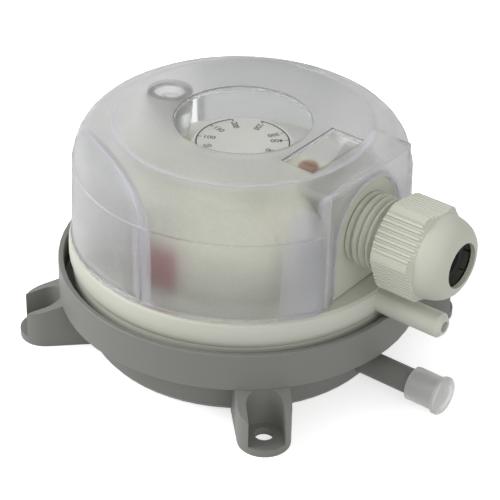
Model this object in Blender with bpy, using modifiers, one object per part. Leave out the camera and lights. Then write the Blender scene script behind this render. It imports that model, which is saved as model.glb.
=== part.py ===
"""A round differential pressure switch for air, in metres, with +Z up.

The origin is on the main axis at the level of the wall that the grey base is screwed to.
The cable gland and both pressure nipples point along +X. Sizes were measured in the photo
with a fitted camera. Where two pieces fit together, the gap is one of the named clearances.
"""

import math

import bpy
from mathutils import Vector

MM = 0.001

# Clearances
TOUCH_GAP = 0.3 * MM
SLIDE_GAP = 0.35 * MM
THROUGH = 2.0 * MM
FAR = 80.0 * MM

# Facets round a full circle
LARGE_STEPS = 64
TOWER_STEPS = 48
MEDIUM_STEPS = 40
INNER_STEPS = 32
SMALL_STEPS = 24
TINY_STEPS = 16

# Grey base
COLLAR_RADIUS = 42.5 * MM
COLLAR_LOW = 11.0 * MM
COLLAR_HIGH = 20.3 * MM
LEDGE_HIGH = 13.2 * MM
BOWL_INNER = 33.4 * MM
LUG_ANGLES = (45, 135, 225, 315)
LUG_CENTRE = 46.0 * MM
LUG_RADIUS = 6.0 * MM
LUG_CHANNEL = 4.1 * MM
LUG_FLOOR = 1.8 * MM
LUG_SCREW_HOLE = 2.2 * MM
P1_HIGH = 5.26 * MM
P1_RADIUS = 3.0 * MM
P1_TIP = 56.8 * MM
NIPPLE_BORE = 1.3 * MM

# Beige upper housing
DECK_HIGH = 26.5 * MM
DECK_LOW = 24.3 * MM
RIM_RADIUS = 39.9 * MM
P2_HIGH = 23.5 * MM
P2_RADIUS = 2.9 * MM
P2_TIP = 56.5 * MM
DECK_STAND = DECK_HIGH + TOUCH_GAP

# Diaphragm and plunger
STEM_RADIUS = 3.0 * MM
SLEEVE_BORE = STEM_RADIUS + SLIDE_GAP
PIN_RADIUS = 1.6 * MM
SPRING_CUP_HIGH = 33.8 * MM

# Lever and snap switch
PIVOT = Vector((0.0, -10.2 * MM, 30.2 * MM))
PIVOT_PIN = 0.8 * MM
PIVOT_HOLE = PIVOT_PIN + TOUCH_GAP
BUTTON = Vector((-0.45 * MM, -11.0 * MM, 34.2 * MM))
SWITCH_END = -30.7 * MM
BUTTON_RADIUS = 1.2 * MM

# Spring and dial
SPRING_RADIUS = 3.9 * MM
SPRING_WIRE = 0.4 * MM
SPRING_TURNS = 5
SPRING_LOW = SPRING_CUP_HIGH + TOUCH_GAP
SPRING_HIGH = 42.1 * MM
SEAT_LOW = SPRING_HIGH + TOUCH_GAP
SEAT_HIGH = 44.0 * MM
TOWER_HIGH = 46.9 * MM
TOWER_WALL = 1.6 * MM
BAY_HALF = 12.0 * MM
DIAL_RADIUS = 11.6 * MM
DIAL_LOW = TOWER_HIGH + TOUCH_GAP
DIAL_HIGH = 49.0 * MM
DIAL_STEM = 2.2 * MM
DIAL_HUB = 3.8 * MM
TRIM_PLACE = Vector((16.8 * MM, 2.4 * MM, 0.0))

# Terminals
TERMINAL_ROW = {"terminal_common": -7.2 * MM, "terminal_closed": 0.0, "terminal_open": 7.2 * MM}

# Cable gland
GLAND_HIGH = 40.6 * MM
GLAND_NECK = 7.6 * MM
GLAND_THREAD = 8.4 * MM
GLAND_BORE = 5.4 * MM
NUT_FLATS = 10.0 * MM
PLATE_ARCH = 11.6 * MM
PLATE_FLANGE = 12.8 * MM

# Cover
COVER_LOW = DECK_HIGH + TOUCH_GAP
COVER_HIGH = 55.3 * MM
COVER_WALL = 1.5 * MM
COVER_SHOULDER = 46.0 * MM
ROOF_RADIUS = 29.4 * MM
ROOF_STEP = 0.3 * MM
BOX_FRONT = 35.3 * MM
BOX_HALF = 16.3 * MM
SCREW_PLACE = Vector((-21.3 * MM, 0.0, 0.0))
WINDOW_RADIUS = 15.77 * MM
WINDOW_DEPTH = 0.35 * MM
PLATE_FRONT = BOX_FRONT - 0.75 * MM
PLATE_STEP = BOX_FRONT - COVER_WALL - TOUCH_GAP
PLATE_BACK = PLATE_STEP - 1.35 * MM
ROOF_UNDER = COVER_HIGH - COVER_WALL


def clear_scene():
    for item in list(bpy.data.objects):
        bpy.data.objects.remove(item, do_unlink=True)


def tool_shelf():
    """The collection of the shapes that cut, join or limit the pieces. It isn't rendered."""
    shelf = bpy.data.collections.new("tools")
    shelf.hide_render = True
    bpy.context.scene.collection.children.link(shelf)
    return shelf


def finish(name, colour, roughness, metallic=0.0, alpha=1.0):
    material = bpy.data.materials.new(name)
    material.use_nodes = True
    shader = material.node_tree.nodes["Principled BSDF"]
    shader.inputs["Base Color"].default_value = (*colour, 1.0)
    shader.inputs["Roughness"].default_value = roughness
    shader.inputs["Metallic"].default_value = metallic
    shader.inputs["Alpha"].default_value = alpha
    return material


def mesh_object(name, points, edges, faces):
    mesh = bpy.data.meshes.new(name)
    mesh.from_pydata([tuple(point) for point in points], edges, faces)
    mesh.update()
    item = bpy.data.objects.new(name, mesh)
    bpy.context.scene.collection.objects.link(item)
    return item


def turned(name, profile, steps, axis="Z", centre=(0.0, 0.0, 0.0)):
    """A turned solid. The profile is a list of (radius, height) that runs down its outer side."""
    places = {
        "Z": lambda radius, height: (radius, 0.0, height),
        "X": lambda radius, height: (height, radius, 0.0),
        "Y": lambda radius, height: (0.0, height, radius),
    }
    points = [places[axis](radius, height) for radius, height in profile]
    last = len(points) - 1
    edges = [(i, i + 1) for i in range(last)]
    open_ended = profile[0][0] == 0.0 and profile[-1][0] == 0.0
    if not open_ended:
        edges.append((last, 0))
    item = mesh_object(name, points, edges, [])
    item.location = centre
    screw = item.modifiers.new("turn", "SCREW")
    screw.axis = axis
    screw.steps = steps
    screw.render_steps = steps
    screw.use_merge_vertices = True
    screw.merge_threshold = 1e-6
    screw.use_smooth_shade = True
    return item


def rod(name, radius, low, high, steps, axis="Z", centre=(0.0, 0.0, 0.0), edge=0.0):
    """A round bar from low to high along an axis, with an optional chamfer at the high end."""
    if edge:
        profile = [(0.0, high), (radius - edge, high), (radius, high - edge), (radius, low), (0.0, low)]
    else:
        profile = [(0.0, high), (radius, high), (radius, low), (0.0, low)]
    return turned(name, profile, steps, axis, centre)


def tube(name, inner, outer, low, high, steps, axis="Z", centre=(0.0, 0.0, 0.0)):
    profile = [(inner, high), (outer, high), (outer, low), (inner, low)]
    return turned(name, profile, steps, axis, centre)


def prism(name, outline, low, high, axis="Z"):
    """A closed outline, counter-clockwise seen from the high end, pulled along an axis."""
    places = {
        "Z": lambda a, b, height: (a, b, height),
        "X": lambda a, b, height: (height, a, b),
        "Y": lambda a, b, height: (b, height, a),
    }
    count = len(outline)
    points = [places[axis](a, b, low) for a, b in outline]
    points += [places[axis](a, b, high) for a, b in outline]
    faces = [tuple(reversed(range(count))), tuple(range(count, 2 * count))]
    for i in range(count):
        j = (i + 1) % count
        faces.append((i, j, j + count, i + count))
    return mesh_object(name, points, [], faces)


def block(name, x, y, z, edge=0.0):
    """A box between two values along each axis, with optional rounded edges."""
    outline = [(x[0], y[0]), (x[1], y[0]), (x[1], y[1]), (x[0], y[1])]
    item = prism(name, outline, z[0], z[1])
    if edge:
        bevel = item.modifiers.new("edges", "BEVEL")
        bevel.width = edge
        bevel.segments = 2
    return item


def arc(centre, radius, start, end, count):
    """Points on a circle, from one angle to another in degrees."""
    points = []
    for i in range(count + 1):
        angle = math.radians(start + (end - start) * i / count)
        points.append((centre[0] + radius * math.cos(angle), centre[1] + radius * math.sin(angle)))
    return points


def combine(item, other, operation):
    """Joins, cuts or limits the item with the other shape, which goes on the tool shelf."""
    modifier = item.modifiers.new(operation.lower(), "BOOLEAN")
    modifier.operation = operation
    modifier.solver = "EXACT"
    modifier.object = other
    other.display_type = "WIRE"
    other.hide_render = True
    for collection in list(other.users_collection):
        collection.objects.unlink(other)
    SHELF.objects.link(other)


def join(item, *others):
    for other in others:
        combine(item, other, "UNION")


def cut(item, *others):
    for other in others:
        combine(item, other, "DIFFERENCE")


def limit(item, other):
    combine(item, other, "INTERSECT")


def paint(item, material):
    item.data.materials.clear()
    item.data.materials.append(material)
    return item


def baked(item):
    """The item's finished shape as a plain mesh. The item goes on the tool shelf."""
    graph = bpy.context.evaluated_depsgraph_get()
    mesh = bpy.data.meshes.new_from_object(item.evaluated_get(graph))
    item.hide_render = True
    for collection in list(item.users_collection):
        collection.objects.unlink(item)
    SHELF.objects.link(item)
    return mesh


def lug():
    """One fixing lug along +X: a round-ended block with a sloping top, a channel and a screw hole."""
    back = 34.6 * MM
    outline = arc((LUG_CENTRE, 0.0), LUG_RADIUS, -90, 90, 16) + [(back, LUG_RADIUS), (back, -LUG_RADIUS)]
    body = prism("lug", outline, 0.0, 12.2 * MM)
    above = [
        (14.0, 40.5), (12.2, 40.5), (11.0, 42.4), (9.75, 46.0),
        (8.75, 49.0), (7.7, 51.4), (6.6, 53.0), (14.0, 53.0),
    ]
    slope = prism("lug_slope", [(z * MM, x * MM) for z, x in reversed(above)], -9.0 * MM, 9.0 * MM, "Y")
    channel_outline = [(54.0 * MM, -LUG_CHANNEL), (54.0 * MM, LUG_CHANNEL)]
    channel_outline += arc((LUG_CENTRE, 0.0), LUG_CHANNEL, 90, 270, 16)
    channel = prism("lug_channel", channel_outline, LUG_FLOOR, 16.0 * MM)
    hole = rod("lug_hole", LUG_SCREW_HOLE, -THROUGH, 5.0 * MM, SMALL_STEPS, "Z", (LUG_CENTRE, 0.0, 0.0))
    cut(body, slope, channel, hole)
    return baked(body)


def lower_housing():
    profile = [
        (0, 2.0), (30.8, 2.0), (33.2, 4.0), (33.4, 13.2), (41.2, 13.2), (41.2, 20.1), (41.4, 20.3),
        (42.3, 20.3), (42.5, 20.1), (42.5, 11.3), (42.2, 11.0), (36.2, 11.0), (35.6, 1.6), (34.6, 0.3),
        (34.0, 0), (0, 0),
    ]
    body = turned("lower_housing", [(r * MM, z * MM) for r, z in profile], LARGE_STEPS)
    lug_mesh = lug()
    for angle in LUG_ANGLES:
        foot = bpy.data.objects.new(f"lug_{angle}", lug_mesh)
        bpy.context.scene.collection.objects.link(foot)
        foot.rotation_euler = (0.0, 0.0, math.radians(angle))
        join(body, foot)
    axis = (0.0, 0.0, P1_HIGH)
    root = BOWL_INNER + 1.0 * MM
    nipple = rod("p1_nipple", P1_RADIUS, root, P1_TIP, SMALL_STEPS, "X", axis, 0.6 * MM)
    bore = rod("p1_bore", NIPPLE_BORE, 30.0 * MM, P1_TIP + THROUGH, TINY_STEPS, "X", axis)
    join(body, nipple)
    cut(body, bore)
    return body


def p1_dust_cap():
    inner = P1_RADIUS + TOUCH_GAP
    closed = P1_TIP + TOUCH_GAP
    end = closed + 0.7 * MM
    mouth = P1_TIP - 6.9 * MM
    profile = [
        (0, end), (2.6 * MM, end), (2.9 * MM, end + 0.3 * MM), (4.2 * MM, end + 0.3 * MM),
        (4.5 * MM, end), (4.5 * MM, end - 0.9 * MM), (3.95 * MM, end - 1.2 * MM), (3.95 * MM, mouth),
        (inner, mouth), (inner, closed), (0, closed),
    ]
    return turned("p1_dust_cap", profile, SMALL_STEPS, "X", (0.0, 0.0, P1_HIGH))


def upper_housing():
    top = DECK_HIGH
    profile = [
        (SLEEVE_BORE, 28.2 * MM), (6.0 * MM, 28.2 * MM), (6.0 * MM, top), (39.0 * MM, top),
        (39.7 * MM, 26.0 * MM), (RIM_RADIUS, 25.0 * MM), (RIM_RADIUS, 22.0 * MM), (39.6 * MM, 20.8 * MM),
        (39.2 * MM, 20.2 * MM), (39.2 * MM, 15.2 * MM), (39.0 * MM, 15.0 * MM), (34.0 * MM, 15.0 * MM),
        (34.0 * MM, 16.5 * MM), (31.5 * MM, 18.0 * MM), (31.5 * MM, DECK_LOW), (6.0 * MM, DECK_LOW),
        (6.0 * MM, 22.0 * MM), (SLEEVE_BORE, 22.0 * MM),
    ]
    body = turned("upper_housing", profile, LARGE_STEPS)
    axis = (0.0, 0.0, P2_HIGH)
    nipple = rod("p2_nipple", P2_RADIUS, 36.0 * MM, P2_TIP, SMALL_STEPS, "X", axis, 1.0 * MM)
    bore = rod("p2_bore", NIPPLE_BORE, 31.0 * MM, P2_TIP + THROUGH, TINY_STEPS, "X", axis)
    join(body, nipple)
    cut(body, bore)
    for side in (-1, 1):
        inner = side * 4.4 * MM
        outer = side * 6.0 * MM
        post = block(f"post_{side}", sorted((inner, outer)), (-12.0 * MM, -8.5 * MM), (25.5 * MM, 32.0 * MM))
        join(body, post)
    cross = rod("post_holes", PIVOT_HOLE, -8.0 * MM, 8.0 * MM, TINY_STEPS, "X", (0.0, PIVOT.y, PIVOT.z))
    cut(body, cross)
    for side in (-1, 1):
        pocket = block(
            f"pocket_{side}", (33.7 * MM, 37.3 * MM), (-8.0 * MM, 8.0 * MM), (21.5 * MM, 30.0 * MM)
        )
        pocket.rotation_euler = (0.0, 0.0, math.radians(side * 117.8))
        cut(body, pocket)
    return body


def diaphragm():
    """A rubber disc with a clamped rim and one rolled fold."""
    profile = [
        (0, 14.1), (26.4, 14.1), (27.3, 13.1), (28.1, 11.8), (29.8, 11.2), (31.5, 11.8), (32.3, 13.1),
        (33.0, 14.2), (33.9, 14.7), (38.6, 14.7), (38.6, 13.5), (33.1, 13.5), (32.85, 12.6), (31.9, 11.1),
        (29.8, 10.5), (27.6, 11.3), (26.7, 12.8), (26.0, 13.5), (0, 13.5),
    ]
    return turned("diaphragm", [(r * MM, z * MM) for r, z in profile], INNER_STEPS)


def diaphragm_plate():
    profile = [
        (0, 15.6), (22.8, 15.6), (23.2, 15.9), (24.9, 15.9), (25.5, 15.4), (25.5, 14.4), (0, 14.4),
    ]
    return turned("diaphragm_plate", [(r * MM, z * MM) for r, z in profile], INNER_STEPS)


def plunger():
    profile = [
        (0, 35.5), (1.8, 35.5), (2.4, 34.9), (2.4, 33.8), (5.0, 33.8), (5.0, 32.6), (1.6, 32.6),
        (1.6, 29.5), (3.0, 29.5), (3.0, 17.2), (3.6, 16.9), (6.0, 16.9), (6.0, 15.9), (0, 15.9),
    ]
    return turned("plunger", [(r * MM, z * MM) for r, z in profile], TINY_STEPS)


def switch_lever():
    """A bell crank: a hub on the pin, a fork round the plunger and an arm to the switch button."""
    centre = (0.0, PIVOT.y, PIVOT.z)
    hub = rod("switch_lever", 1.9 * MM, -4.0 * MM, 4.0 * MM, SMALL_STEPS, "X", centre)
    fork = block("fork", (-3.5 * MM, 3.5 * MM), (-10.0 * MM, 2.2 * MM), (29.8 * MM, 30.6 * MM))
    gap = PIN_RADIUS + TOUCH_GAP
    mouth_outline = [(gap, 4.0 * MM), (-gap, 4.0 * MM)] + arc((0.0, 0.0), gap, 180, 360, 12)
    mouth = prism("fork_mouth", mouth_outline, 28.0 * MM, 32.0 * MM)
    cut(fork, mouth)
    arm = block("arm", (-2.4 * MM, 1.3 * MM), (-10.7 * MM, -9.9 * MM), (30.4 * MM, 36.0 * MM))
    join(hub, fork, arm)
    cut(hub, rod("hub_hole", PIVOT_HOLE, -5.0 * MM, 5.0 * MM, TINY_STEPS, "X", centre))
    return hub


def lever_pin():
    return rod("lever_pin", PIVOT_PIN, -6.2 * MM, 6.2 * MM, TINY_STEPS, "X", (0.0, PIVOT.y, PIVOT.z))


def switch_case():
    """The snap switch's case, open towards its lid, with a bore for the button."""
    case = block(
        "switch_case", (-5.7 * MM, 2.8 * MM), (SWITCH_END, -13.0 * MM), (DECK_STAND, 36.4 * MM), 0.4 * MM
    )
    hollow = block(
        "switch_hollow", (-4.5 * MM, 4.4 * MM), (SWITCH_END + 1.2 * MM, -14.2 * MM), (28.0 * MM, 35.2 * MM)
    )
    place = (BUTTON.x, 0.0, BUTTON.z)
    bore = rod("button_bore", BUTTON_RADIUS + TOUCH_GAP, -18.0 * MM, -11.0 * MM, TINY_STEPS, "Y", place)
    cut(case, hollow, bore)
    return case


def switch_lid():
    return block(
        "switch_lid", (3.1 * MM, 4.8 * MM), (SWITCH_END, -13.0 * MM), (DECK_STAND, 36.4 * MM), 0.4 * MM
    )


def switch_button():
    place = (BUTTON.x, 0.0, BUTTON.z)
    return rod("switch_button", BUTTON_RADIUS, -16.8 * MM, BUTTON.y, TINY_STEPS, "Y", place, 0.4 * MM)


def setting_spring():
    """A round wire swept along a helix, closed by a cap at each end."""
    sides = 6
    per_turn = 14
    low = SPRING_LOW + SPRING_WIRE
    high = SPRING_HIGH - SPRING_WIRE
    count = SPRING_TURNS * per_turn
    slope = math.atan2((high - low) / SPRING_TURNS, 2.0 * math.pi * SPRING_RADIUS)
    points = []
    for i in range(count + 1):
        angle = 2.0 * math.pi * i / per_turn
        height = low + (high - low) * i / count
        outward = Vector((math.cos(angle), math.sin(angle), 0.0))
        level = math.cos(slope)
        along = Vector((-math.sin(angle) * level, math.cos(angle) * level, math.sin(slope)))
        across = along.cross(outward)
        middle = outward * SPRING_RADIUS + Vector((0.0, 0.0, height))
        for k in range(sides):
            turn = 2.0 * math.pi * k / sides
            points.append(middle + (outward * math.cos(turn) + across * math.sin(turn)) * SPRING_WIRE)
    faces = [tuple(reversed(range(sides))), tuple(range(count * sides, (count + 1) * sides))]
    for i in range(count):
        for k in range(sides):
            n = (k + 1) % sides
            faces.append((i * sides + k, i * sides + n, (i + 1) * sides + n, (i + 1) * sides + k))
    return mesh_object("setting_spring", points, [], faces)


def spring_seat():
    return tube("spring_seat", DIAL_STEM + SLIDE_GAP, 5.6 * MM, SEAT_LOW, SEAT_HIGH, SMALL_STEPS)


def setting_dial():
    profile = [
        (0, DIAL_HIGH), (DIAL_RADIUS - 0.2 * MM, DIAL_HIGH), (DIAL_RADIUS, DIAL_HIGH - 0.2 * MM),
        (DIAL_RADIUS, DIAL_LOW), (DIAL_HUB, DIAL_LOW), (DIAL_HUB, 44.9 * MM), (DIAL_STEM, 44.9 * MM),
        (DIAL_STEM, 40.5 * MM), (0, 40.5 * MM),
    ]
    return turned("setting_dial", profile, MEDIUM_STEPS)


def spring_tower():
    """The bell-shaped drum that holds the dial and the spring, with a walled bay for the terminals."""
    outer = [
        (0, 46.9), (11.4, 46.9), (11.9, 46.4), (12.6, 44.6), (14.4, 43.2), (17.0, 42.3), (24.5, 41.3),
        (28.0, 39.8), (29.4, 37.0), (30.0, 26.8), (0, 26.8),
    ]
    inner = [
        (0, 45.3), (10.3, 45.3), (10.9, 43.9), (13.2, 41.9), (16.5, 40.8), (24.0, 39.7), (26.8, 38.5),
        (27.8, 36.7), (28.4, 26.0), (0, 26.0),
    ]
    tower = turned("spring_tower", [(r * MM, z * MM) for r, z in outer], TOWER_STEPS)
    hollow = turned("tower_hollow", [(r * MM, z * MM) for r, z in inner], TOWER_STEPS)
    wall_far = BAY_HALF + TOWER_WALL
    bay_walls = block("bay_walls", (14.0 * MM, FAR), (-wall_far, wall_far), (-FAR, FAR))
    cut(hollow, bay_walls)
    cheeks = []
    for side in (-1, 1):
        edge = [(14.2, 40.0), (28.3, 40.0), (28.3, 46.3)] + arc((24.1, 46.3), 4.2, 0, 90, 6) + [(19.5, 50.5)]
        edge = [(z * MM, x * MM) for x, z in reversed(edge)]
        low, high = sorted((side * BAY_HALF, side * wall_far))
        cheeks.append(prism(f"bay_cheek_{side}", edge, low, high, "Y"))
    bay = block("bay", (14.0 * MM + TOWER_WALL, FAR), (-BAY_HALF, BAY_HALF), (-FAR, 44.6 * MM))
    join(tower, *cheeks)
    cut(tower, hollow, bay)
    shelf = block("shelf", (9.0 * MM, 21.0 * MM), (-10.0 * MM, 7.6 * MM), (44.4 * MM, 46.7 * MM), 0.4 * MM)
    boss = rod("cover_boss", 4.2 * MM, DECK_STAND, COVER_HIGH - 11.3 * MM, SMALL_STEPS, "Z", SCREW_PLACE)
    join(tower, shelf, boss)
    passage = block(
        "switch_passage", (-6.1 * MM, 5.2 * MM), (-36.0 * MM, -26.0 * MM), (20.0 * MM, 36.8 * MM)
    )
    boss_hole = rod("boss_hole", 1.9 * MM, COVER_HIGH - 24.3 * MM, FAR, TINY_STEPS, "Z", SCREW_PLACE)
    roof_hole = rod("roof_hole", DIAL_HUB + SLIDE_GAP, 43.0 * MM, 49.0 * MM, MEDIUM_STEPS)
    trim_hole = rod("trim_hole", 1.5 * MM, 43.0 * MM, 49.0 * MM, TINY_STEPS, "Z", TRIM_PLACE)
    cut(tower, passage, boss_hole, roof_hole, trim_hole)
    return tower


def calibration_screw():
    profile = [
        (0, 48.2), (2.0, 48.2), (2.4, 47.8), (2.4, 47.0), (1.2, 47.0), (1.2, 43.4), (0, 43.4),
    ]
    screw = turned("calibration_screw", [(r * MM, z * MM) for r, z in profile], TINY_STEPS, "Z", TRIM_PLACE)
    across = (TRIM_PLACE.y - 0.3 * MM, TRIM_PLACE.y + 0.3 * MM)
    along = (TRIM_PLACE.x - 3.5 * MM, TRIM_PLACE.x + 3.5 * MM)
    slot = block("trim_slot", along, across, (47.7 * MM, 50.0 * MM))
    cut(screw, slot)
    return screw


def terminal_base():
    return block(
        "terminal_base", (17.0 * MM, 27.5 * MM), (-11.2 * MM, 11.2 * MM), (DECK_STAND, 31.5 * MM), 0.4 * MM
    )


def terminal(name, y):
    body = block(
        name, (18.6 * MM, 25.4 * MM), (y - 2.9 * MM, y + 2.9 * MM), (31.8 * MM, 37.3 * MM), 0.3 * MM
    )
    wire_hole = rod(
        name + "_wire_hole", 1.3 * MM, 16.0 * MM, 28.0 * MM, TINY_STEPS, "X", (0.0, y, 33.8 * MM)
    )
    screw_hole = rod(
        name + "_screw_hole", 1.8 * MM, 33.8 * MM, 40.0 * MM, TINY_STEPS, "Z", (22.0 * MM, y, 0.0)
    )
    cut(body, wire_hole, screw_hole)
    return body


def slotted_screw(name, place, head, head_low, head_high, shank, tip):
    profile = [
        (0, head_high), (head - 0.3 * MM, head_high), (head, head_high - 0.3 * MM), (head, head_low),
        (shank, head_low), (shank, tip), (0, tip),
    ]
    screw = turned(name, profile, TINY_STEPS, "Z", place)
    far = head + 1.0 * MM
    slot = block(
        name + "_slot", (place[0] - far, place[0] + far), (place[1] - 0.4 * MM, place[1] + 0.4 * MM),
        (head_high - 0.8 * MM, head_high + THROUGH),
    )
    cut(screw, slot)
    return screw


def gland_plate():
    """An arched plate with a wider step behind the cover's wall, and a hole for the gland."""
    centre = (0.0, GLAND_HIGH)
    foot = DECK_STAND
    front_outline = [(-PLATE_ARCH, foot), (PLATE_ARCH, foot)] + arc(centre, PLATE_ARCH, 0, 180, 24)
    back_outline = [(-PLATE_FLANGE, foot), (PLATE_FLANGE, foot)] + arc(centre, PLATE_FLANGE, 0, 180, 24)
    plate = prism("gland_plate", back_outline, PLATE_BACK, PLATE_STEP, "X")
    front = prism("plate_front", front_outline, PLATE_BACK + 0.7 * MM, PLATE_FRONT, "X")
    join(plate, front)
    hole = rod("plate_hole", GLAND_NECK + TOUCH_GAP, 0.0, FAR, MEDIUM_STEPS, "X", (0.0, 0.0, GLAND_HIGH))
    cut(plate, hole)
    return plate


def gland_body():
    """The gland's neck and thread. The thread is drawn as ridges, one for each turn."""
    root = 7.45 * MM
    start = PLATE_FRONT + TOUCH_GAP
    pitch = 1.75 * MM
    profile = [(GLAND_BORE, 52.0 * MM), (root, 52.0 * MM)]
    for i in reversed(range(9)):
        x = start + 2.0 * MM + pitch * i
        profile += [(root, x + 0.45 * pitch), (GLAND_THREAD, x + 0.16 * pitch)]
        profile += [(GLAND_THREAD, x - 0.16 * pitch)]
        profile.append((root, x - 0.45 * pitch))
    profile += [(root, start + 0.9 * MM), (GLAND_THREAD, start + 0.7 * MM), (GLAND_THREAD, start)]
    profile += [(GLAND_NECK, start), (GLAND_NECK, 29.0 * MM), (GLAND_BORE, 29.0 * MM)]
    return turned("gland_body", profile, MEDIUM_STEPS, "X", (0.0, 0.0, GLAND_HIGH))


def gland_lock_nut():
    centre = (0.0, 0.0, GLAND_HIGH)
    back = PLATE_BACK - TOUCH_GAP
    outline = [(0.0 + a, GLAND_HIGH + b) for a, b in arc((0.0, 0.0), 11.0 * MM, 0, 300, 5)]
    nut = prism("gland_lock_nut", outline, back - 3.0 * MM, back, "X")
    limit(nut, rod("lock_nut_round", 10.5 * MM, back - 5.0 * MM, back + 2.0 * MM, MEDIUM_STEPS, "X", centre))
    cut(nut, rod("lock_nut_hole", GLAND_NECK + TOUCH_GAP, 0.0, FAR, MEDIUM_STEPS, "X", centre))
    return nut


def gland_seal():
    profile = [
        (3.4, 56.5), (5.2, 56.5), (5.6, 56.1), (5.6, 52.3), (5.1, 51.7), (5.1, 47.0), (3.4, 47.0),
    ]
    outline = [(r * MM, x * MM) for r, x in profile]
    return turned("gland_seal", outline, SMALL_STEPS, "X", (0.0, 0.0, GLAND_HIGH))


def gland_claw():
    """The slit ring that the dome nut presses on to the seal."""
    centre = (0.0, 0.0, GLAND_HIGH)
    profile = [(5.9, 57.5), (7.3, 57.5), (7.9, 56.4), (7.9, 52.3), (5.9, 52.3)]
    claw = turned("gland_claw", [(r * MM, x * MM) for r, x in profile], INNER_STEPS, "X", centre)
    for i in range(4):
        slit = block(
            f"claw_slit_{i}", (53.8 * MM, 59.0 * MM), (-10.0 * MM, 10.0 * MM), (-0.3 * MM, 0.3 * MM)
        )
        slit.location = centre
        slit.rotation_euler = (math.radians(45 * i), 0.0, 0.0)
        cut(claw, slit)
    return claw


def nut_outline():
    """A hexagon with rounded corners and grip ribs: bold ones on two flats, finer ones on the rest."""
    points = []
    for side in range(6):
        facing = math.radians(142.0 + 60.0 * side)
        bold = side in (0, 3)
        ribs = 7 if bold else 9
        height = 0.55 * MM if bold else 0.3 * MM
        out = Vector((math.cos(facing), math.sin(facing)))
        along = Vector((-math.sin(facing), math.cos(facing)))
        half = 4.7 * MM
        pitch = 2.0 * half / ribs
        for i in range(ribs):
            middle = -half + pitch * (i + 0.5)
            for step, rise in ((-0.38, 0.0), (-0.2, 1.0), (0.2, 1.0), (0.38, 0.0)):
                spot = out * (NUT_FLATS + rise * height - 0.3 * MM) + along * (middle + step * pitch)
                points.append((spot.x, spot.y + GLAND_HIGH))
        corner = facing + math.radians(30.0)
        for turn in (-3.5, 3.5):
            angle = corner + math.radians(turn)
            points.append((11.1 * MM * math.cos(angle), GLAND_HIGH + 11.1 * MM * math.sin(angle)))
    return points


def gland_dome_nut():
    centre = (0.0, 0.0, GLAND_HIGH)
    nut = prism("gland_dome_nut", nut_outline(), 42.9 * MM, 53.2 * MM, "X")
    dome = [
        (0, 59.4), (5.7, 59.4), (6.4, 59.2), (7.5, 58.6), (8.5, 57.5), (9.2, 56.0), (9.6, 54.4),
        (9.8, 53.2), (10.6, 52.4), (11.4, 52.2), (11.4, 43.6), (10.6, 42.9), (0, 42.9),
    ]
    shape = turned("nut_shape", [(r * MM, x * MM) for r, x in dome], MEDIUM_STEPS, "X", centre)
    inside = [
        (0, 61.0), (5.2, 61.0), (5.2, 58.3), (8.2, 57.8), (8.2, 52.2), (8.7, 51.9), (8.7, 41.0), (0, 41.0),
    ]
    hollow = turned("nut_hollow", [(r * MM, x * MM) for r, x in inside], INNER_STEPS, "X", centre)
    longer = rod("nut_dome", 9.75 * MM, 46.0 * MM, 60.4 * MM, MEDIUM_STEPS, "X", centre)
    join(nut, longer)
    limit(nut, shape)
    cut(nut, hollow)
    return nut


def shoulder(across, high, count=7):
    """Points of the quarter ellipse from the cover's side up to its flat roof, highest first."""
    points = []
    for i in range(count + 1):
        angle = math.radians(90.0 - 90.0 * i / count)
        points.append((ROOF_RADIUS + across * math.cos(angle), COVER_SHOULDER + high * math.sin(angle)))
    return points


def box_outline(half, high, low, radius):
    """The gland box seen from the front: straight sides and rounded upper edges."""
    points = [(-half, low), (half, low)]
    points += arc((half - radius, high - radius), radius, 0, 90, 4)
    points += arc((-half + radius, high - radius), radius, 90, 180, 4)
    return points


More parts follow.
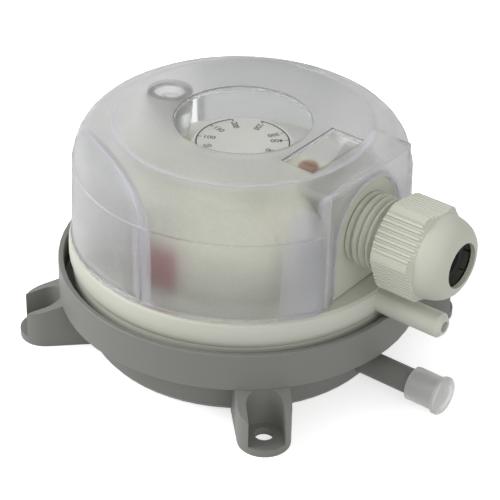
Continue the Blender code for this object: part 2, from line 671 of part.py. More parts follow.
def cover():
    """The frosted cover: a domed shell with a gland box, inner walls, a screw pillar and windows."""
    top = COVER_HIGH
    foot = COVER_LOW + 0.7 * MM
    outer = [(0, top), (ROOF_RADIUS - 0.15 * MM, top), (ROOF_RADIUS + 0.15 * MM, top - 0.15 * MM)]
    outer += [(ROOF_RADIUS + 0.2 * MM, top - ROOF_STEP)]
    outer += shoulder(8.95 * MM, top - ROOF_STEP - COVER_SHOULDER)[1:]
    outer += [(38.65 * MM, COVER_SHOULDER - 0.2 * MM), (39.1 * MM, foot + 0.2 * MM), (39.45 * MM, foot)]
    outer += [(39.45 * MM, COVER_LOW), (0, COVER_LOW)]
    inner = [(0, ROOF_UNDER)] + shoulder(7.6 * MM, ROOF_UNDER - COVER_SHOULDER, 5)
    inner += [(37.15 * MM, COVER_SHOULDER - 0.4 * MM), (37.7 * MM, 0.0), (0, 0.0)]
    shell = turned("cover", outer, LARGE_STEPS)
    hollow = turned("cover_hollow", inner, TOWER_STEPS)
    side = BOX_HALF + 1.7 * MM
    cut(shell, block("box_room", (BOX_FRONT - 0.35 * MM, FAR), (-side, side), (-FAR, FAR)))
    outside = box_outline(BOX_HALF, top, COVER_LOW, 1.9 * MM)
    box = prism("gland_box", outside, 24.0 * MM, BOX_FRONT, "X")
    for side in (-1, 1):
        corner = block(f"box_edge_{side}", (0.0, 3.0 * MM), (-2.0 * MM, 2.0 * MM), (-FAR, FAR))
        corner.location = (BOX_FRONT - 0.7 * MM, side * (BOX_HALF - 0.7 * MM), 0.0)
        corner.rotation_euler = (0.0, 0.0, math.radians(side * 45.0))
        cut(box, corner)
    join(shell, box)
    inner_front = BOX_FRONT - COVER_WALL
    cut(hollow, block("hollow_room", (inner_front, FAR), (-FAR, FAR), (-FAR, FAR)))
    inside = box_outline(BOX_HALF - COVER_WALL, ROOF_UNDER, 0.0, 0.6 * MM)
    join(hollow, prism("box_hollow", inside, 22.0 * MM, inner_front, "X"))
    for side in (-1, 1):
        inner_wall = block(
            f"inner_wall_{side}", (31.5 * MM, 32.5 * MM), (-22.0 * MM, 22.0 * MM),
            (COVER_LOW + 0.6 * MM, FAR),
        )
        inner_wall.rotation_euler = (0.0, 0.0, math.radians(side * 116.3))
        cut(hollow, inner_wall)
    pillar = [(0, top + 4.0 * MM), (5.25 * MM, top + 4.0 * MM), (5.25 * MM, top - 4.3 * MM)]
    pillar += [(4.3 * MM, top - 11.0 * MM), (0, top - 11.0 * MM)]
    cut(hollow, turned("pillar", pillar, SMALL_STEPS + 8, "Z", SCREW_PLACE))
    cut(shell, hollow)
    seat = top - 5.3 * MM
    recess = [(0, FAR), (3.75 * MM, FAR), (3.75 * MM, seat), (1.9 * MM, seat), (1.9 * MM, 0.0), (0, 0.0)]
    cut(shell, turned("screw_recess", recess, SMALL_STEPS + 8, "Z", SCREW_PLACE))
    gap = PLATE_ARCH + TOUCH_GAP
    mouth = [(-gap, 0.0), (gap, 0.0)] + arc((0.0, GLAND_HIGH), gap, 0, 180, 24)
    cut(shell, prism("gland_mouth", mouth, inner_front - 1.0 * MM, FAR, "X"))
    cut(shell, rod("round_window", WINDOW_RADIUS, top - WINDOW_DEPTH, FAR, LARGE_STEPS))
    window = block(
        "long_window", (17.75 * MM, 26.46 * MM), (-9.54 * MM, 9.54 * MM), (top - WINDOW_DEPTH, FAR)
    )
    cut(shell, window)
    return shell


clear_scene()
SHELF = tool_shelf()

GREY = finish("base_grey", (0.235, 0.24, 0.225), 0.55)
BEIGE = finish("housing_beige", (0.62, 0.61, 0.52), 0.5)
FROSTED = finish("cover_frosted", (0.60, 0.59, 0.62), 0.45, 0.0, 0.45)
SOFT_CLEAR = finish("cap_soft", (0.72, 0.71, 0.68), 0.4, 0.0, 0.6)
DARK_RED = finish("switch_red", (0.30, 0.045, 0.04), 0.5)
LACQUER = finish("lacquer_red", (0.33, 0.09, 0.05), 0.35)
PALE = finish("dial_pale", (0.70, 0.68, 0.60), 0.5)
RUBBER = finish("rubber_black", (0.03, 0.03, 0.03), 0.8)
BRASS = finish("terminal_brass", (0.70, 0.52, 0.25), 0.35, 1.0)
STEEL = finish("plated_steel", (0.62, 0.62, 0.60), 0.35, 1.0)
ALUMINIUM = finish("plate_aluminium", (0.75, 0.76, 0.77), 0.4, 1.0)
WHITE = finish("inner_white", (0.75, 0.74, 0.70), 0.5)

paint(lower_housing(), GREY)
paint(p1_dust_cap(), SOFT_CLEAR)
paint(diaphragm(), RUBBER)
paint(diaphragm_plate(), ALUMINIUM)
paint(plunger(), WHITE)
paint(upper_housing(), BEIGE)
paint(switch_lever(), STEEL)
paint(lever_pin(), STEEL)
paint(switch_case(), DARK_RED)
paint(switch_lid(), DARK_RED)
paint(switch_button(), WHITE)
paint(setting_spring(), STEEL)
paint(spring_seat(), STEEL)
paint(setting_dial(), PALE)
paint(spring_tower(), BEIGE)
paint(calibration_screw(), LACQUER)
paint(terminal_base(), WHITE)
for terminal_name, terminal_y in TERMINAL_ROW.items():
    paint(terminal(terminal_name, terminal_y), BRASS)
    clamp = slotted_screw(
        terminal_name + "_screw", (22.0 * MM, terminal_y, 0.0),
        2.4 * MM, 37.6 * MM, 39.2 * MM, 1.5 * MM, 34.6 * MM
    )
    paint(clamp, STEEL)
paint(gland_plate(), BEIGE)
paint(gland_body(), BEIGE)
paint(gland_lock_nut(), BEIGE)
paint(gland_seal(), RUBBER)
paint(gland_claw(), WHITE)
paint(gland_dome_nut(), BEIGE)
paint(cover(), FROSTED)
cover_screw = slotted_screw(
    "cover_screw", (SCREW_PLACE.x, 0.0, 0.0),
    3.4 * MM, COVER_HIGH - 5.0 * MM, COVER_HIGH - 2.3 * MM, 1.6 * MM,
    COVER_HIGH - 21.3 * MM,
)
paint(cover_screw, STEEL)
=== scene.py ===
"""The looks of a round differential pressure switch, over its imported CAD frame.

Everything is in metres, in the frame of the CAD model: +Z up, the cable gland along +X.
Only the materials read their places in millimetres.
"""

import math

import bpy
import numpy as np
from mathutils import Matrix, Vector


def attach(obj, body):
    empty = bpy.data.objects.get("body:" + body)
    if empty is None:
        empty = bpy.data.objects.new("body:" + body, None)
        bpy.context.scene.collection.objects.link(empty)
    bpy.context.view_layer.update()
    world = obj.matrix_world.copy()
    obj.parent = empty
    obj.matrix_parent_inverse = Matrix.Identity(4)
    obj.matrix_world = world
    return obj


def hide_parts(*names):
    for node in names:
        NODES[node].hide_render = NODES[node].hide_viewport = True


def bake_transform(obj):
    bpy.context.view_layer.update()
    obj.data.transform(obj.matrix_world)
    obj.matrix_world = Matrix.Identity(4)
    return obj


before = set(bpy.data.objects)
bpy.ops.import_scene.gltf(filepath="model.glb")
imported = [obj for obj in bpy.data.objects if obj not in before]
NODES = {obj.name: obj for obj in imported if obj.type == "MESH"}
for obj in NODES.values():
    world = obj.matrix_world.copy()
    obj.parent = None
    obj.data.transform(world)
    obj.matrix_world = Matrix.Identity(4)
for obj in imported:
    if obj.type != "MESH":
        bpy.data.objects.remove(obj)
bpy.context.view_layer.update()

MM = 0.001

# Azimuth, elevation, distance, size and power of each lamp
LAMPS = {
    "window_lamp": (-52.0, 33.0, 0.9, 0.6, 5.4),
    "fill_lamp": (58.0, 24.0, 1.1, 0.8, 3.6),
}

# Floor and surround: half the floor's side, its glow, and how far the surround lights the object
FLOOR_HALF = 3.0
FLOOR_GLOW = 0.55
AMBIENT = 0.55

# Camera, as fitted to the photograph
CAMERA_AZIMUTH = math.radians(37.33)
CAMERA_ELEVATION = math.radians(32.68)
CAMERA_ROLL = math.radians(1.28)
CAMERA_DISTANCE = 0.44514
CAMERA_AIM_RIGHT = 0.00094
CAMERA_AIM_UP = -0.00428
CAMERA_CENTRE = Vector((0.0, 0.0, 0.025))
CAMERA_LENS = 137.76
CAMERA_SENSOR = 36.0
CAMERA_SHIFT = (0.0113, 0.0030)
CAMERA_NEAR = 0.01
CAMERA_FAR = 20.0

# Setting spring: the wire is given by its half thickness, and the split counts turns from below
SPRING_LOW = 34.1 * MM
SPRING_HIGH = 42.1 * MM
SPRING_RADIUS = 3.9 * MM
SPRING_WIRE = 0.4 * MM
SPRING_TURNS = 5.0
SPRING_SPLIT = 1.5
SPRING_STEPS = 14
SPRING_SIDES = 10

# Print on the dial: each mark's number and its place round the dial in degrees
DIAL_TOP = 49.0 * MM
PRINT_HIGH = DIAL_TOP + 0.04 * MM
ARC_RADIUS = 10.6 * MM
ARC_HALF_WIDTH = 0.16 * MM
ARC_ENDS = ((142, 268), (-10, 105))
ARC_POINTS = 64
TICK_LENGTH = 1.0 * MM
TICK_HALF_WIDTH = 0.14 * MM
NUMBER_INSET = 1.3 * MM
NUMBER_SIZE = 2.0 * MM
NUMBER_BOLDNESS = 0.02 * MM
SCALE_MARKS = {
    "0": -92,
    "50": -125,
    "100": -154,
    "150": 173,
    "200": 141,
    "250": 101,
    "300": 63,
    "400": 43,
    "500": 5,
}

# Places on the cover, in millimetres: a pair gives the two ends of a stretch
ROOF_HIGH = 55.3
ROOF_EDGE = 29.3
ROOF_EDGE_LOW = ROOF_HIGH - 0.6
WALL_TOP = (45.9, 46.1)
WALL_OUT = 38.0
LOW_FRONT_HEIGHTS = (38.0, 34.0)
LOW_FRONT_PLACES = (-18.0, -24.0)
WINDOW_RADIUS = 15.57
WINDOW_LOW = ROOF_HIGH - 5.0
WINDOW_RIM = (15.5, 16.1)
LONG_WINDOW = (17.95, 26.26)
LONG_WINDOW_HALF = 9.34
LONG_RIM = (17.6, 26.6)
LONG_RIM_HALF = 9.7
RIM_HEIGHTS = (ROOF_HIGH - 0.4, ROOF_HIGH - 0.02)
SCREW_BACK = 21.3
SCREW_RECESS = 5.35
# Painted shade: a dark ring round the screw's recess, where the screw's pillar below looks dark
# through the roof
SCREW_SHADE_RING = (3.6, 5.25)
SCREW_SHADE_RING_LOW = ROOF_HIGH - 0.95
PARTITION_TURN = math.radians(116.3)
PARTITION_LINE = (32.8, 33.5)
PARTITION_STRIP = (32.1, 32.8)
BOX_BACK = 30.0
BOX_CORNER = 49.4
BROW_BACK = 34.3
BROW_LOW = ROOF_HIGH - 1.2
GLAND_HIGH = 40.6
MOUTH_BACK = 33.0
MOUTH_BAND = (11.8, 12.6)

# Places on the drum, in millimetres: where its top is painted pale as painted light, and where its
# side is darkened downwards as painted shade
SHELF_LOW = 44.3
SHELF_NEAR = 8.9
SHELF_SIDE = 7.7
# Painted light: the drum's top turns pale above these heights and beyond these places across
PAINTED_LIGHT_HEIGHTS = (40.5, 41.5)
PAINTED_LIGHT_PLACES = (2.0, 10.0)
# Painted shade: the drum's side darkens downwards between these heights
PAINTED_SHADE_HEIGHTS = (40.0, 32.0)

# CAD surfaces: points closer than this are welded, and edges that turn by more stay sharp
WELD_DISTANCE = 1e-6
SHARP_TURN = math.radians(32.0)


def direction(azimuth, elevation):
    """The unit vector towards a viewer: azimuth 0 looks along +Y and 90 along -X."""
    return Vector((
        math.sin(azimuth) * math.cos(elevation),
        -math.cos(azimuth) * math.cos(elevation),
        math.sin(elevation),
    ))


def rgb(red, green, blue):
    return (red, green, blue, 1.0)


def grey(level):
    return rgb(level, level, level)


def dimmed(colour, factor):
    return rgb(*(channel * factor for channel in colour))


def spaced(values):
    """Socket names as Blender writes them: each underscore stands for a space."""
    return {name.replace("_", " "): value for name, value in values.items()}


class Wire:
    """One socket that takes part in sums: each operator adds one Math node."""

    def __init__(self, nodes, socket):
        self.nodes = nodes
        self.socket = socket

    def sum_of(self, operation, *terms, clamp=False):
        settings = {"operation": operation, "use_clamp": clamp}
        return self.nodes.node("ShaderNodeMath", settings, dict(enumerate(terms)))

    def __add__(self, other):
        return self.sum_of("ADD", self, other)

    def __radd__(self, other):
        return self.sum_of("ADD", other, self)

    def __sub__(self, other):
        return self.sum_of("SUBTRACT", self, other)

    def __rsub__(self, other):
        return self.sum_of("SUBTRACT", other, self)

    def __mul__(self, other):
        return self.sum_of("MULTIPLY", self, other)

    def __rmul__(self, other):
        return self.sum_of("MULTIPLY", other, self)

    def __truediv__(self, other):
        return self.sum_of("DIVIDE", self, other)

    def __rtruediv__(self, other):
        return self.sum_of("DIVIDE", other, self)

    def __pow__(self, other):
        return self.sum_of("POWER", self, other)

    def __rpow__(self, other):
        return self.sum_of("POWER", other, self)

    def __lt__(self, other):
        return self.sum_of("LESS_THAN", self, other)

    def __gt__(self, other):
        return self.sum_of("GREATER_THAN", self, other)

    def __abs__(self):
        return self.sum_of("ABSOLUTE", self)

    def at_least(self, other):
        return self.sum_of("MAXIMUM", self, other)

    def clamped(self):
        return self.sum_of("ADD", self, 0.0, clamp=True)

    def within(self, low, high):
        """One between two values, and nought outside them."""
        return (self > low) * (self < high)

    def near(self, middle, reach):
        """One at a value, falling evenly to nought at a reach either side."""
        return (1.0 - abs(self - middle) / reach).clamped()

    def ramp(self, start, end):
        """Nought at one value, one at the other, and even between them."""
        return ((self - start) / (end - start)).clamped()


class Nodes:
    """The nodes of one tree: every node of this script is made by the method called node."""

    def __init__(self, tree):
        self.tree = tree

    def fill(self, node, sockets):
        """Sets or links a node's sockets, which are given by name or by number."""
        for name, value in sockets.items():
            if isinstance(value, Wire):
                self.tree.links.new(value.socket, node.inputs[name])
            else:
                node.inputs[name].default_value = value

    def node(self, kind, settings=None, sockets=None, output=0):
        """A node of any type: its settings are set first, then its sockets' values or links."""
        node = self.tree.nodes.new(kind)
        for name, value in (settings or {}).items():
            setattr(node, name, value)
        self.fill(node, sockets or {})
        return Wire(self, node.outputs[output]) if node.outputs else None


class Paint(Nodes):
    """The nodes of one new material, round its Principled shader."""

    library = "materials"
    shader_name = "Principled BSDF"

    def __init__(self, name, **values):
        self.block = getattr(bpy.data, self.library).new(name)
        self.block.use_nodes = True
        super().__init__(self.block.node_tree)
        self.shader = self.tree.nodes[self.shader_name]
        self.finish(**values)

    def finish(self, **values):
        """Sets or links the shader's sockets, and hands the material over."""
        self.fill(self.shader, spaced(values))
        return self.block

    def places(self):
        return self.node("ShaderNodeTexCoord", output="Object")

    def millimetres(self):
        """The three Object coordinates of a point, in millimetres."""
        place = {"Vector": self.places()}
        return [self.node("ShaderNodeSeparateXYZ", {}, place, axis) / MM for axis in "XYZ"]

    def noise(self, scale, detail, roughness=0.5):
        sockets = {"Vector": self.places(), "Scale": scale, "Detail": detail, "Roughness": roughness}
        return self.node("ShaderNodeTexNoise", {}, sockets, "Fac")

    def blend(self, factor, first, second):
        """A colour between two: they are sockets 6 and 7 of the Mix node, and its output 2."""
        sockets = {"Factor": factor, 6: first, 7: second}
        return self.node("ShaderNodeMix", {"data_type": "RGBA"}, sockets, 2)

    def relief(self, height, strength, depth):
        """A bump that follows a height, with a depth in millimetres."""
        sockets = {"Height": height, "Strength": strength, "Distance": depth * MM}
        return self.node("ShaderNodeBump", {}, sockets, "Normal")

    def plastic(self, **values):
        """A further Principled shader of the same material."""
        return self.node("ShaderNodeBsdfPrincipled", {}, spaced(values), "BSDF")

    def change(self, mask, first, second):
        """Two shaders, of which the second shows where a mask is one."""
        return self.node("ShaderNodeMixShader", {}, {0: mask, 1: first, 2: second})


class Surround(Paint):
    """The same for a new world, round its Background shader."""

    library = "worlds"
    shader_name = "Background"


def mould_grain(paint, roughness):
    """A mould's fine eroded grain: how mottled and how rough each point is, and its relief."""
    cloud = paint.noise(90.0, 3.0)
    fine = paint.noise(2600.0, 3.0, 0.6)
    mottled = cloud * 0.7 + fine * 0.3
    rough = roughness - 0.08 + cloud * 0.08 + fine * 0.08
    return mottled, rough, paint.relief(fine, 0.5, 0.02)


def moulded(name, colour, roughness):
    """Moulded plastic: one colour, slightly cloudy, with a slightly uneven shine."""
    paint = Paint(name, IOR=1.5)
    mottled, rough, relief = mould_grain(paint, roughness)
    tint = paint.blend(mottled, dimmed(colour, 0.95), dimmed(colour, 1.05))
    return paint.finish(Base_Color=tint, Roughness=rough, Normal=relief)


def drum_with_painted_light():
    """The drum's beige plastic, with painted shade that darkens its side lower down, and painted
    light that turns its top pale but for the screw's surround.
    """
    paint = Paint("tower_beige_painted_light_and_shade", IOR=1.5)
    mottled, rough, relief = mould_grain(paint, 0.5)
    x, y, z = paint.millimetres()
    by_screw = (x > SHELF_NEAR) * (y < SHELF_SIDE) * (z > SHELF_LOW)
    # Painted light: the top turns a pale neutral grey, but for the screw's surround
    pale = z.ramp(*PAINTED_LIGHT_HEIGHTS) * y.ramp(*PAINTED_LIGHT_PLACES) * (1.0 - by_screw)
    side = paint.blend(mottled, rgb(0.70, 0.70, 0.585), rgb(0.76, 0.76, 0.635))
    # Painted shade: the side darkens towards a deeper beige lower down
    side = paint.blend(z.ramp(*PAINTED_SHADE_HEIGHTS), side, rgb(0.53, 0.53, 0.44))
    top = paint.blend(mottled, rgb(0.65, 0.655, 0.65), rgb(0.70, 0.705, 0.70))
    return paint.finish(Base_Color=paint.blend(pale, side, top), Roughness=rough, Normal=relief)


def metal(name, colour, roughness):
    """Plated or plain metal with fine brushed variation."""
    paint = Paint(name, Metallic=1.0)
    cloud = paint.noise(300.0, 4.0, 0.6)
    relief = paint.relief(paint.noise(4000.0, 2.0), 0.3, 0.01)
    tint = paint.blend(cloud, dimmed(colour, 0.85), rgb(*colour))
    return paint.finish(Base_Color=tint, Roughness=roughness - 0.1 + cloud * 0.2, Normal=relief)


def soft_cap():
    """Soft natural plastic that lets light through."""
    paint = Paint("cap_soft", IOR=1.45, Transmission_Weight=0.75)
    cloud = paint.noise(200.0, 2.0)
    tint = paint.blend(cloud, rgb(0.82, 0.82, 0.81), rgb(0.90, 0.90, 0.89))
    return paint.finish(Base_Color=tint, Roughness=0.35 + cloud * 0.1)


def rubber(name):
    """Black rubber with a dull, finely pitted skin."""
    paint = Paint(name, IOR=1.5)
    fine = paint.noise(1800.0, 3.0)
    tint = paint.blend(fine, rgb(0.015, 0.015, 0.015), rgb(0.035, 0.035, 0.034))
    relief = paint.relief(fine, 0.4, 0.02)
    return paint.finish(Base_Color=tint, Roughness=0.6 + fine * 0.2, Normal=relief)


def printing_ink():
    """The nearly black ink of the dial's scale."""
    paint = Paint("scale_ink", IOR=1.5)
    cloud = paint.noise(900.0, 2.0)
    tint = paint.blend(cloud, grey(0.012), grey(0.03))
    return paint.finish(Base_Color=tint, Roughness=0.5 + cloud * 0.1)


def window_masks(x, y, z, from_axis, from_screw):
    """Three masks: both clear windows, the long one alone, and the rims round both, which are
    painted dark grey as painted shade.
    """
    long_window = x.within(*LONG_WINDOW) * (abs(y) < LONG_WINDOW_HALF)
    windows = (from_axis < WINDOW_RADIUS).at_least(long_window)
    windows = windows * (z > WINDOW_LOW) * (from_screw > SCREW_RECESS)
    long_rim = x.within(*LONG_RIM) * (abs(y) < LONG_RIM_HALF) * (1.0 - long_window)
    shaded_rims = from_axis.within(*WINDOW_RIM).at_least(long_rim) * z.within(*RIM_HEIGHTS)
    return windows, long_window, shaded_rims


def edge_mask(x, y, z, from_axis):
    """How milky the cover's moulded edges are, from nought to one."""
    outward = x * math.cos(PARTITION_TURN) + abs(y) * math.sin(PARTITION_TURN)
    partition = outward.within(*PARTITION_LINE) + outward.within(*PARTITION_STRIP) * 0.65
    roof_edge = from_axis.near(ROOF_EDGE, 1.0) * (z > ROOF_EDGE_LOW)
    wall_top = z.within(*WALL_TOP) * (from_axis > WALL_OUT)
    box_corner = (x + abs(y) > BOX_CORNER) * (x > BOX_BACK)
    box_brow = (x > BROW_BACK) * (z > BROW_LOW)
    above = (z - GLAND_HIGH).at_least(0.0)
    from_gland = (y * y + above * above) ** 0.5
    mouth = from_gland.within(*MOUTH_BAND) * (x > MOUTH_BACK)
    edges = partition * 0.75 + roof_edge * 0.9 + wall_top * 0.35
    return (edges + box_corner * 0.5 + box_brow * 0.5 + mouth * 0.6).clamped()


def frosted_cover():
    """Frosted polycarbonate, finely eroded, with clear windows and milky edges, its window rims
    painted dark grey as painted shade, a ring of painted shade round the screw's recess, and painted
    shade where it is seen edge-on.
    """
    paint = Paint("cover_frosted", IOR=1.35, Transmission_Weight=0.95)
    x, y, z = paint.millimetres()
    from_axis = (x * x + y * y) ** 0.5
    from_screw = ((x + SCREW_BACK) ** 2.0 + y * y) ** 0.5
    windows, long_window, shaded_rims = window_masks(x, y, z, from_axis, from_screw)
    cloud = paint.noise(110.0, 2.0)
    fine = paint.noise(1500.0, 2.0)
    speck = paint.noise(2600.0, 1.0).ramp(1.0 / 3.0, 2.0 / 3.0)

    # Painted shade: the cover's colour is drawn towards this grey where it is seen edge-on, and in a
    # ring round the screw's recess
    shaded = rgb(0.36, 0.36, 0.37)
    grazing_shade = paint.node("ShaderNodeLayerWeight", {}, {"Blend": 0.5}, "Facing") ** 5.0
    screw_ring_shade = from_screw.within(*SCREW_SHADE_RING) * (z > SCREW_SHADE_RING_LOW)
    tint = paint.blend(cloud * 0.5 + speck * 0.5, rgb(0.72, 0.725, 0.72), rgb(0.90, 0.905, 0.90))
    tint = paint.blend(grazing_shade, tint, shaded)
    tint = paint.blend(screw_ring_shade * 0.75, tint, shaded)
    low_front = z.ramp(*LOW_FRONT_HEIGHTS) * y.ramp(*LOW_FRONT_PLACES)
    rough = 0.42 + cloud * 0.06 + fine * 0.06 - low_front * 0.12
    paint.finish(Base_Color=tint, Roughness=rough, Normal=paint.relief(fine, 0.1, 0.01))
    frosted = Wire(paint, paint.shader.outputs["BSDF"])

    milk = paint.blend(cloud, rgb(0.60, 0.60, 0.65), rgb(0.68, 0.68, 0.73))
    dull = 0.5 + cloud * 0.1
    milky = paint.plastic(Transmission_Weight=0.45, IOR=1.35, Base_Color=milk, Roughness=dull)

    # Painted shade: the window rims are an opaque, dull dark grey, standing in for the dark line
    # that their walls show
    rim_shade_grey = paint.blend(cloud, rgb(0.34, 0.34, 0.35), rgb(0.42, 0.42, 0.43))
    rim_shade = paint.plastic(Base_Color=rim_shade_grey, Roughness=0.6 + cloud * 0.1)

    glassy = paint.blend(cloud, rgb(0.90, 0.905, 0.90), rgb(0.95, 0.955, 0.95))
    sheen = 0.03 + cloud * 0.03 + long_window * 0.2
    clear = paint.plastic(Transmission_Weight=1.0, IOR=1.12, Base_Color=glassy, Roughness=sheen)

    whole = paint.change(edge_mask(x, y, z, from_axis), frosted, milky)
    whole = paint.change(shaded_rims, whole, rim_shade)
    whole = paint.change(windows, whole, clear)
    paint.fill(paint.tree.nodes["Material Output"], {"Surface": whole})
    return paint.block


def soft_shading():
    """A node group that welds loose triangles and shades them smooth, but for the sharp edges."""
    group = bpy.data.node_groups.new("soft_shading", "GeometryNodeTree")
    group.interface.new_socket("Geometry", in_out="INPUT", socket_type="NodeSocketGeometry")
    group.interface.new_socket("Geometry", in_out="OUTPUT", socket_type="NodeSocketGeometry")
    nodes = Nodes(group)
    shape = nodes.node("NodeGroupInput")
    sockets = {"Geometry": shape, "Name": "custom_normal"}
    shape = nodes.node("GeometryNodeRemoveAttribute", {}, sockets)
    sockets = {"Geometry": shape, "Distance": WELD_DISTANCE}
    shape = nodes.node("GeometryNodeMergeByDistance", {}, sockets)
    sockets = {"Geometry": shape, "Shade Smooth": True}
    shape = nodes.node("GeometryNodeSetShadeSmooth", {"domain": "FACE"}, sockets)
    turn = nodes.node("GeometryNodeInputMeshEdgeAngle", output="Unsigned Angle")
    sockets = {"A": turn, "B": SHARP_TURN}
    sharp = nodes.node("FunctionNodeCompare", {"operation": "GREATER_THAN"}, sockets)
    sockets = {"Geometry": shape, "Selection": sharp, "Shade Smooth": False}
    shape = nodes.node("GeometryNodeSetShadeSmooth", {"domain": "EDGE"}, sockets)
    nodes.node("NodeGroupOutput", {}, {0: shape})
    return group


def dress(name, material):
    """Gives a CAD node its finish, and shades it smooth with its hard edges kept crisp."""
    node = NODES[name]
    for slot in node.material_slots:
        slot.material = material
    if not node.material_slots:
        node.data.materials.append(material)
    node.modifiers.new("soft_shading", "NODES").node_group = SHADING


def added(name, data):
    """A new object in the scene, for a mesh, a text, a lamp or a camera."""
    item = bpy.data.objects.new(name, data)
    bpy.context.scene.collection.objects.link(item)
    return item


def covered(name, mesh, material):
    """A new object for a mesh that has one material all over."""
    mesh.materials.clear()
    mesh.materials.append(material)
    return added(name, mesh)


def surface(name, points, faces, material, smooth):
    """A new object from computed points and from lists of the points round each face."""
    mesh = bpy.data.meshes.new(name)
    mesh.from_pydata(np.asarray(points, float).tolist(), [], faces)
    mesh.polygons.foreach_set("use_smooth", np.full(len(mesh.polygons), smooth))
    mesh.update()
    return covered(name, mesh, material)


def flat_band(inner, outer, start, end, count):
    """A flat ring piece between two radii, and its faces.

    Each point is (r cos a, r sin a) at the height of the print, with a rising evenly along the
    band from start to end, for the inner radius r and then for the outer one.
    """
    angle = np.radians(np.linspace(start, end, count))
    radius = np.array([inner, outer])[:, None]
    x = radius * np.cos(angle)
    y = radius * np.sin(angle)
    points = np.stack([x, y, np.full_like(x, PRINT_HIGH)], axis=-1).reshape(-1, 3)
    corner = np.arange(count - 1)
    return points, np.stack([corner, corner + count, corner + count + 1, corner + 1], axis=1)


def tube_faces(rings, sides):
    """The faces of a tube of rings, with a fan at each end round the two points after them."""
    row, column = np.meshgrid(np.arange(rings - 1), np.arange(sides), indexing="ij")
    corner = (row * sides + column).ravel()
    beside = (row * sides + (column + 1) % sides).ravel()
    tube = np.stack([corner, corner + sides, beside + sides, beside], axis=1)
    edge = np.arange(sides)
    after = (edge + 1) % sides
    base = (rings - 1) * sides
    first_fan = np.stack([np.full(sides, rings * sides), edge, after], axis=1)
    last_fan = np.stack([np.full(sides, rings * sides + 1), base + after, base + edge], axis=1)
    return tube.tolist() + first_fan.tolist() + last_fan.tolist()


def coil(name, first, last):
    """A stretch of the spring: a ring of wire carried along a helix, with a cap at each end.

    At turn t the wire's middle is (R cos a, R sin a, h), with a = 2 pi t and h rising evenly,
    and each ring point is the middle plus w (cos b outwards + sin b across the wire).
    """
    count = int(round((last - first) * SPRING_STEPS)) + 1
    angle = 2.0 * math.pi * np.linspace(first, last, count)[:, None]
    around = 2.0 * math.pi * np.arange(SPRING_SIDES)[None, :] / SPRING_SIDES
    rise = (SPRING_HIGH - SPRING_LOW - 2.0 * SPRING_WIRE) / (2.0 * math.pi * SPRING_TURNS)
    slope = math.atan2(rise, SPRING_RADIUS)
    outward = SPRING_RADIUS + SPRING_WIRE * np.cos(around)
    leaning = SPRING_WIRE * np.sin(around)
    x = outward * np.cos(angle) + leaning * math.sin(slope) * np.sin(angle)
    y = outward * np.sin(angle) - leaning * math.sin(slope) * np.cos(angle)
    z = SPRING_LOW + SPRING_WIRE + rise * angle + leaning * math.cos(slope)
    rings = np.stack([x, y, z], axis=-1).reshape(-1, 3)
    ends = np.stack([rings[:SPRING_SIDES].mean(axis=0), rings[-SPRING_SIDES:].mean(axis=0)])
    points = np.concatenate([rings, ends])
    return surface(name, points, tube_faces(count, SPRING_SIDES), STEEL, True)


def spring():
    """The setting spring in two stretches, made in place of the CAD spring, which is hidden."""
    middle = SPRING_LOW + SPRING_WIRE
    middle += (SPRING_HIGH - SPRING_LOW - 2.0 * SPRING_WIRE) * SPRING_SPLIT / SPRING_TURNS
    lower = coil("spring_lower_turns", 0.0, SPRING_SPLIT)
    upper = coil("spring_upper_turns", SPRING_SPLIT, SPRING_TURNS)
    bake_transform(lower)
    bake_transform(upper)
    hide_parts("setting_spring")
    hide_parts("setting_spring")


def dial_print():
    """The scale on the dial: two arcs, a tick for each number, and the numbers read inwards."""
    inner = ARC_RADIUS - ARC_HALF_WIDTH
    outer = ARC_RADIUS + ARC_HALF_WIDTH
    tick_foot = ARC_RADIUS - TICK_LENGTH
    half = math.degrees(TICK_HALF_WIDTH / ARC_RADIUS)
    bands = [flat_band(inner, outer, *ends, ARC_POINTS) for ends in ARC_ENDS]
    for degrees in SCALE_MARKS.values():
        bands.append(flat_band(tick_foot, ARC_RADIUS, degrees - half, degrees + half, 2))
    points = []
    faces = []
    for band_points, band_faces in bands:
        faces += (band_faces + len(points)).tolist()
        points += band_points.tolist()
    ink = printing_ink()
    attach(surface("dial_scale", points, faces, ink, False), "dial")
    for label, degrees in SCALE_MARKS.items():
        number(label, degrees, ink)


def number(label, degrees, ink):
    """One number, standing on a line that runs from its tick towards the dial's middle."""
    name = "dial_number_" + label
    text = bpy.data.curves.new(name, "FONT")
    text.body = label
    text.size = NUMBER_SIZE
    text.align_x = "LEFT"
    text.align_y = "CENTER"
    text.offset = NUMBER_BOLDNESS
    holder = added("holder", text)
    mesh = bpy.data.meshes.new_from_object(holder)
    bpy.data.objects.remove(holder)
    angle = math.radians(degrees)
    start = ARC_RADIUS - NUMBER_INSET
    place = Vector((start * math.cos(angle), start * math.sin(angle), PRINT_HIGH))
    mesh.transform(Matrix.Translation(place) @ Matrix.Rotation(angle + math.pi, 4, "Z"))
    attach(covered(name, mesh, ink), "dial")


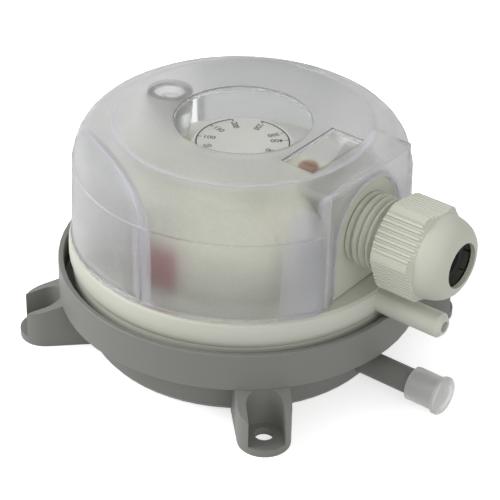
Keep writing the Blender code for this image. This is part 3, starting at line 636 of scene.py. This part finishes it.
def camera():
    """The photograph's camera: aimed along its fitted angles, rolled, with its picture shift."""
    back = direction(CAMERA_AZIMUTH, CAMERA_ELEVATION)
    right = Vector((math.cos(CAMERA_AZIMUTH), math.sin(CAMERA_AZIMUTH), 0.0))
    up = back.cross(right)
    place = CAMERA_CENTRE + right * CAMERA_AIM_RIGHT + up * CAMERA_AIM_UP + back * CAMERA_DISTANCE
    rolled_right = right * math.cos(CAMERA_ROLL) + up * math.sin(CAMERA_ROLL)
    rolled_up = up * math.cos(CAMERA_ROLL) - right * math.sin(CAMERA_ROLL)
    data = bpy.data.cameras.new("photo_camera")
    data.lens = CAMERA_LENS
    data.sensor_width = CAMERA_SENSOR
    data.shift_x, data.shift_y = CAMERA_SHIFT
    data.clip_start = CAMERA_NEAR
    data.clip_end = CAMERA_FAR
    item = added("photo_camera", data)
    turn = Matrix((rolled_right, rolled_up, back)).transposed()
    item.matrix_world = Matrix.Translation(place) @ turn.to_4x4()
    bpy.context.scene.camera = item


def lamp(name, azimuth, elevation, distance, size, power):
    """A square soft lamp that looks at the object's middle."""
    data = bpy.data.lights.new(name, "AREA")
    data.shape = "SQUARE"
    data.size = size
    data.energy = power
    towards = direction(math.radians(azimuth), math.radians(elevation))
    item = added(name, data)
    item.location = CAMERA_CENTRE + towards * distance
    item.rotation_euler = towards.to_track_quat("Z", "Y").to_euler()


def looked_at(nodes):
    """One for what is seen straight, through clear plastic or in a gloss, and nought for light."""
    straight = nodes.node("ShaderNodeLightPath", output="Is Camera Ray")
    through = nodes.node("ShaderNodeLightPath", output="Is Transmission Ray")
    mirrored = nodes.node("ShaderNodeLightPath", output="Is Glossy Ray")
    return straight.at_least(through).at_least(mirrored)


def studio():
    """A pale floor, an even white surround and two soft lamps."""
    paint = Paint("floor_white", Roughness=0.9, Emission_Strength=1.0)
    seen = looked_at(paint)
    tint = paint.blend(seen, grey(0.5), grey(0.97))
    glow = paint.blend(seen, grey(0.0), grey(FLOOR_GLOW))
    white = paint.finish(Base_Color=tint, Emission_Color=glow)
    corners = [
        (-FLOOR_HALF, -FLOOR_HALF, 0.0),
        (FLOOR_HALF, -FLOOR_HALF, 0.0),
        (FLOOR_HALF, FLOOR_HALF, 0.0),
        (-FLOOR_HALF, FLOOR_HALF, 0.0),
    ]
    floor = surface("floor", corners, [[0, 1, 2, 3]], white, False)

    surround = Surround("surround")
    strength = looked_at(surround) * (1.0 - AMBIENT) + AMBIENT
    bpy.context.scene.world = surround.finish(Color=grey(1.0), Strength=strength)

    for name, values in LAMPS.items():
        lamp(name, *values)
    bpy.context.scene.view_settings.view_transform = "Standard"


SHADING = soft_shading()

GREY = moulded("base_grey", (0.182, 0.183, 0.17), 0.55)
BEIGE = moulded("housing_beige", (0.57, 0.575, 0.50), 0.5)
TOWER_PAINTED_LIGHT_AND_SHADE = drum_with_painted_light()
GLAND = moulded("gland_beige", (0.53, 0.54, 0.46), 0.55)
CLAW = moulded("claw_olive", (0.085, 0.085, 0.065), 0.5)
DIAL = moulded("dial_pale", (0.585, 0.585, 0.55), 0.5)
WHITE = moulded("inner_white", (0.70, 0.70, 0.66), 0.5)
RED = moulded("switch_red", (0.34, 0.008, 0.02), 0.45)
LACQUER = moulded("lacquer_red", (0.31, 0.16, 0.105), 0.35)
STEEL = metal("plated_steel", (0.62, 0.62, 0.60), 0.35)
ZINC = metal("pale_zinc", (0.92, 0.92, 0.90), 0.5)
ALUMINIUM = metal("plate_aluminium", (0.75, 0.76, 0.77), 0.4)
RUBBER = rubber("rubber_black")
FROSTED = frosted_cover()
CAP = soft_cap()

FINISHES = {
    "lower_housing": GREY,
    "p1_dust_cap": CAP,
    "diaphragm": RUBBER,
    "diaphragm_plate": ALUMINIUM,
    "plunger": WHITE,
    "upper_housing": BEIGE,
    "switch_lever": STEEL,
    "lever_pin": STEEL,
    "switch_case": RED,
    "switch_lid": RED,
    "switch_button": WHITE,
    "setting_spring": STEEL,
    "spring_seat": STEEL,
    "setting_dial": DIAL,
    "spring_tower": TOWER_PAINTED_LIGHT_AND_SHADE,
    "calibration_screw": LACQUER,
    "terminal_base": WHITE,
    "terminal_common": ZINC,
    "terminal_closed": ZINC,
    "terminal_open": ZINC,
    "terminal_common_screw": STEEL,
    "terminal_closed_screw": STEEL,
    "terminal_open_screw": STEEL,
    "gland_plate": GLAND,
    "gland_body": GLAND,
    "gland_lock_nut": GLAND,
    "gland_seal": RUBBER,
    "gland_claw": CLAW,
    "gland_dome_nut": GLAND,
    "cover": FROSTED,
    "cover_screw": ZINC,
}
for node_name, node_material in FINISHES.items():
    dress(node_name, node_material)

spring()
dial_print()
camera()
studio()
